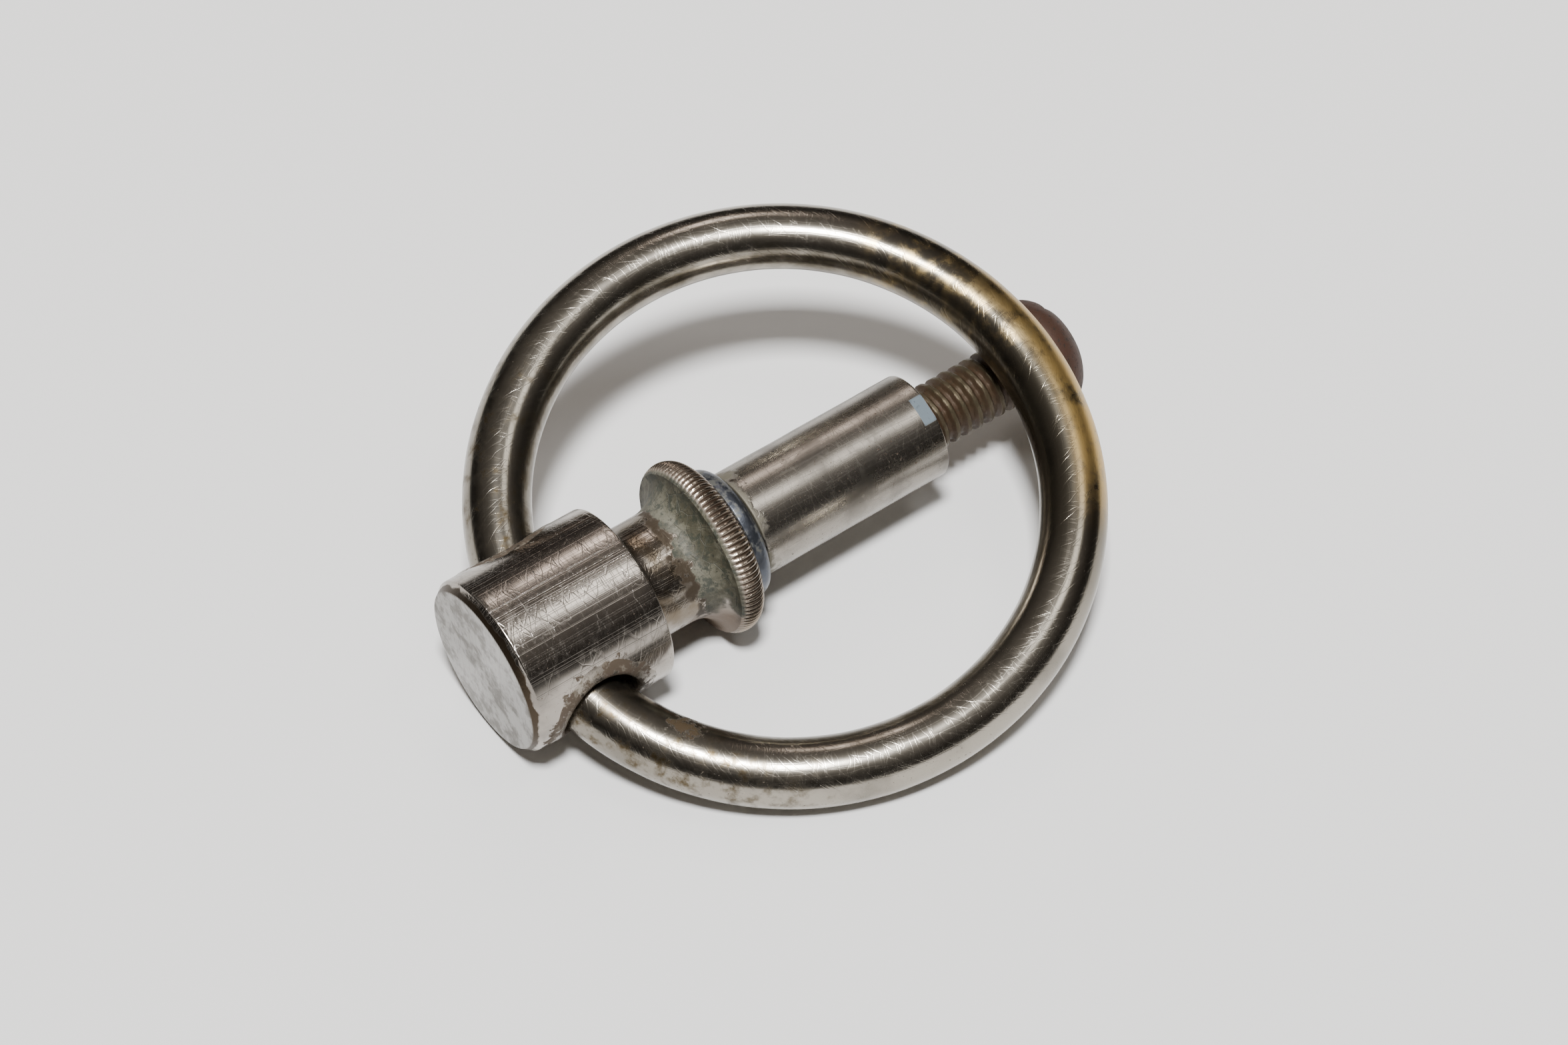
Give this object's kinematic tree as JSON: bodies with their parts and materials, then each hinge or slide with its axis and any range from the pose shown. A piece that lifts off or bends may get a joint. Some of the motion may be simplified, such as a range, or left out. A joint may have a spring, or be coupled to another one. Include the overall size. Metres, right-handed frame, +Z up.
{
  "type": "eye bolt",
  "caption": "Ring swinging in a cross-drilled barrel head with a milled flange, a collar washer, a spacer sleeve and a slotted clamp screw that fastens it through a panel",
  "frame": {"origin": "centre of the overall bounding box in X and Y, on the surface that the part lies on", "axes": "+X along the shank from the head towards the screw head, +Z up from the surface the part lies on, +Y the ring's raised side"},
  "size_m": [0.0641, 0.0554, 0.0221],
  "materials": {
    "post_nickel": "worn, scratched nickel plate on brass, with pale green verdigris in the cove and brown crust in the hollows",
    "ring_nickel": "worn nickel plate on brass, pitted, scratched and rubbed through to yellow at the outer edge",
    "collar_grey": "dull blue-grey zinc plate",
    "sleeve_nickel": "dull nickel plate with streaks and dark specks",
    "screw_rust": "brown rust over the whole screw"
  },
  "bodies": {
    "post": {"head_post": "post_nickel", "collar_washer": "collar_grey"},
    "ring": {"ring": "ring_nickel"},
    "sleeve": {"spacer_sleeve": "sleeve_nickel"},
    "screw": {"clamp_screw": "screw_rust"}
  },
  "joints": [
    {"name": "ring_swing", "type": "hinge", "parent": "post", "child": "ring", "pos_m": [-0.02499, 0.00171, 0.00842], "axis": [0, -0.9587, -0.2845], "range_deg": [0, 345]},
    {"name": "screw_turn", "type": "hinge", "parent": "post", "child": "sleeve", "pos_m": [0, 0.00171, 0.00842], "axis": [1, 0, 0], "range_deg": [0, 1441]},
    {"name": "screw_travel", "type": "slide", "parent": "sleeve", "child": "screw", "axis": [1, 0, 0], "range_m": [0, 0.00508]}
  ],
  "couplings": [
    {"joint": "screw_turn", "follows": "screw_travel", "rad_per_m": 4947.4}
  ]
}
